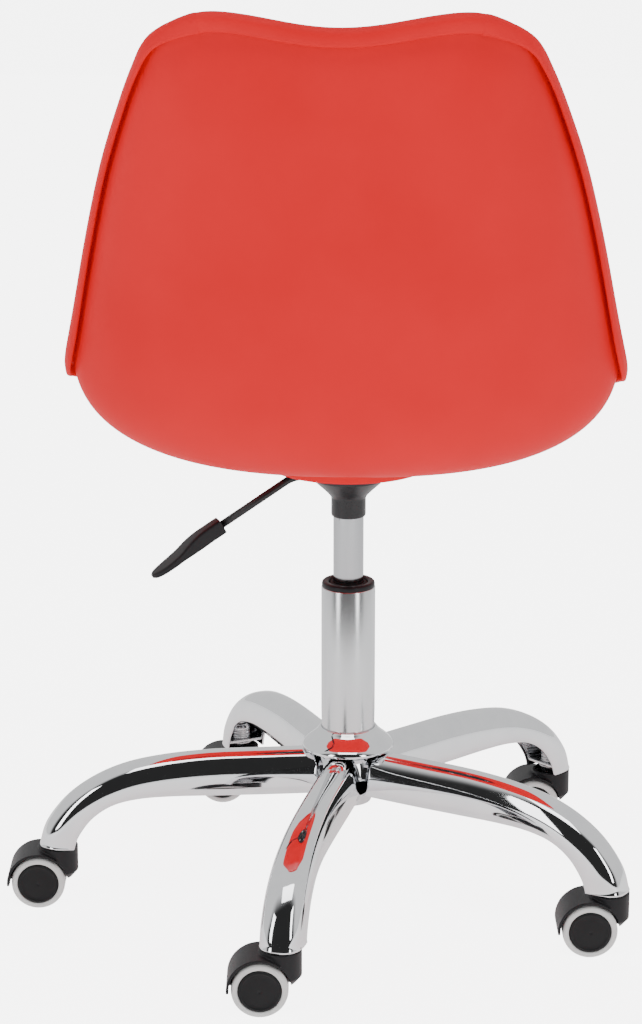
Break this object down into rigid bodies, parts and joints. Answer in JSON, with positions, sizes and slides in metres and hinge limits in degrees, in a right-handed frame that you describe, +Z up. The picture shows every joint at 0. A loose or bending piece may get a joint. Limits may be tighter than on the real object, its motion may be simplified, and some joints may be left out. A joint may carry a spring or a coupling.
{
  "type": "rolling stylist stool",
  "caption": "Swivel stool with a moulded one-piece seat and back, a seat pad, a lever-worked gas lift and a star base on twin-wheel casters.",
  "frame": {"origin": "on the floor, under the column axis", "axes": "+Z up along the column, the sitter faces -Y, +X to the sitter's left"},
  "size_m": [0.5777, 0.5595, 0.8535],
  "materials": {
    "chrome": "polished chrome plate",
    "black_plastic": "black nylon, fine moulded texture",
    "wheel_black": "black nylon, satin",
    "pale_tread": "pale grey polyurethane",
    "steel": "zinc-plated steel",
    "cylinder_steel": "ground steel",
    "zinc": "bright zinc plate",
    "rubber": "black rubber",
    "black_enamel": "black powder coat",
    "brass": "brass",
    "red_shell": "fine matte moulded texture",
    "red_leather": "fine-grained artificial leather"
  },
  "bodies": {
    "root": {"base_hub": "chrome", "hub_collar": "chrome", "column_tube": "chrome", "guide_bush": "black_plastic", "thrust_bearing": "steel", "caster_sockets": "zinc", "leg_1": "chrome", "leg_2": "chrome", "leg_3": "chrome", "leg_4": "chrome", "leg_5": "chrome", "caster_stem_1": "steel", "caster_stem_2": "steel", "caster_stem_3": "steel", "caster_stem_4": "steel", "caster_stem_5": "steel"},
    "piston": {"piston_rod": "steel", "retaining_clip": "steel", "bump_stop": "rubber"},
    "seat": {"gas_cylinder": "cylinder_steel", "rod_seal": "rubber", "seat_plate": "black_enamel", "plate_screws": "zinc", "lever_pivot_pin": "steel", "shell_inserts": "brass", "seat_shell": "red_shell", "seat_cushion": "red_leather"},
    "valve": {"valve_pin": "steel"},
    "lever": {"lever_rod": "black_enamel", "lever_grip": "black_plastic"},
    "caster_1": {"caster_housing_1": "black_plastic", "caster_axle_1": "steel"},
    "wheel_a_1": {"wheel_core_a_1": "wheel_black", "wheel_tread_a_1": "pale_tread"},
    "wheel_b_1": {"wheel_core_b_1": "wheel_black", "wheel_tread_b_1": "pale_tread"},
    "caster_2": {"caster_housing_2": "black_plastic", "caster_axle_2": "steel"},
    "wheel_a_2": {"wheel_core_a_2": "wheel_black", "wheel_tread_a_2": "pale_tread"},
    "wheel_b_2": {"wheel_core_b_2": "wheel_black", "wheel_tread_b_2": "pale_tread"},
    "caster_3": {"caster_housing_3": "black_plastic", "caster_axle_3": "steel"},
    "wheel_a_3": {"wheel_core_a_3": "wheel_black", "wheel_tread_a_3": "pale_tread"},
    "wheel_b_3": {"wheel_core_b_3": "wheel_black", "wheel_tread_b_3": "pale_tread"},
    "caster_4": {"caster_housing_4": "black_plastic", "caster_axle_4": "steel"},
    "wheel_a_4": {"wheel_core_a_4": "wheel_black", "wheel_tread_a_4": "pale_tread"},
    "wheel_b_4": {"wheel_core_b_4": "wheel_black", "wheel_tread_b_4": "pale_tread"},
    "caster_5": {"caster_housing_5": "black_plastic", "caster_axle_5": "steel"},
    "wheel_a_5": {"wheel_core_a_5": "wheel_black", "wheel_tread_a_5": "pale_tread"},
    "wheel_b_5": {"wheel_core_b_5": "wheel_black", "wheel_tread_b_5": "pale_tread"}
  },
  "joints": [
    {"name": "seat_swivel", "type": "hinge", "parent": "root", "child": "piston", "pos_m": [0, 0, 0.1], "axis": [0, 0, 1], "continuous": true},
    {"name": "height", "type": "slide", "parent": "piston", "child": "seat", "axis": [0, 0, 1], "range_m": [-0.055, 0.045]},
    {"name": "lever_tip", "type": "hinge", "parent": "seat", "child": "lever", "pos_m": [0.02241, 0.0086, 0.411], "axis": [0.3584, -0.9336, 0], "range_deg": [0, 8], "stiffness_Nm_per_rad": 6, "springref_deg": -2.86},
    {"name": "valve_press", "type": "slide", "parent": "seat", "child": "valve", "axis": [0, 0, -1], "range_m": [0, 0.0036], "stiffness_N_per_m": 800, "springref_m": -0.001},
    {"name": "caster_swivel_1", "type": "hinge", "parent": "root", "child": "caster_1", "pos_m": [0.27047, 0.03705, 0.05], "axis": [0, 0, 1], "continuous": true},
    {"name": "wheel_spin_a_1", "type": "hinge", "parent": "caster_1", "child": "wheel_a_1", "pos_m": [0.28846, 0.03784, 0.025], "axis": [-0.0436, 0.999, 0], "continuous": true},
    {"name": "wheel_spin_b_1", "type": "hinge", "parent": "caster_1", "child": "wheel_b_1", "pos_m": [0.28846, 0.03784, 0.025], "axis": [-0.0436, 0.999, 0], "continuous": true},
    {"name": "caster_swivel_2", "type": "hinge", "parent": "root", "child": "caster_2", "pos_m": [0.04834, 0.26869, 0.05], "axis": [0, 0, 1], "continuous": true},
    {"name": "wheel_spin_a_2", "type": "hinge", "parent": "caster_2", "child": "wheel_a_2", "pos_m": [0.06633, 0.26947, 0.025], "axis": [-0.0436, 0.999, 0], "continuous": true},
    {"name": "wheel_spin_b_2", "type": "hinge", "parent": "caster_2", "child": "wheel_b_2", "pos_m": [0.06633, 0.26947, 0.025], "axis": [-0.0436, 0.999, 0], "continuous": true},
    {"name": "caster_swivel_3", "type": "hinge", "parent": "root", "child": "caster_3", "pos_m": [-0.2406, 0.12901, 0.05], "axis": [0, 0, 1], "continuous": true},
    {"name": "wheel_spin_a_3", "type": "hinge", "parent": "caster_3", "child": "wheel_a_3", "pos_m": [-0.22261, 0.12979, 0.025], "axis": [-0.0436, 0.999, 0], "continuous": true},
    {"name": "wheel_spin_b_3", "type": "hinge", "parent": "caster_3", "child": "wheel_b_3", "pos_m": [-0.22261, 0.12979, 0.025], "axis": [-0.0436, 0.999, 0], "continuous": true},
    {"name": "caster_swivel_4", "type": "hinge", "parent": "root", "child": "caster_4", "pos_m": [-0.19704, -0.18896, 0.05], "axis": [0, 0, 1], "continuous": true},
    {"name": "wheel_spin_a_4", "type": "hinge", "parent": "caster_4", "child": "wheel_a_4", "pos_m": [-0.17906, -0.18817, 0.025], "axis": [-0.0436, 0.999, 0], "continuous": true},
    {"name": "wheel_spin_b_4", "type": "hinge", "parent": "caster_4", "child": "wheel_b_4", "pos_m": [-0.17906, -0.18817, 0.025], "axis": [-0.0436, 0.999, 0], "continuous": true},
    {"name": "caster_swivel_5", "type": "hinge", "parent": "root", "child": "caster_5", "pos_m": [0.11882, -0.24579, 0.05], "axis": [0, 0, 1], "continuous": true},
    {"name": "wheel_spin_a_5", "type": "hinge", "parent": "caster_5", "child": "wheel_a_5", "pos_m": [0.1368, -0.245, 0.025], "axis": [-0.0436, 0.999, 0], "continuous": true},
    {"name": "wheel_spin_b_5", "type": "hinge", "parent": "caster_5", "child": "wheel_b_5", "pos_m": [0.1368, -0.245, 0.025], "axis": [-0.0436, 0.999, 0], "continuous": true}
  ],
  "couplings": [
    {"joint": "valve_press", "follows": "lever_tip", "m_per_rad": 0.024}
  ]
}
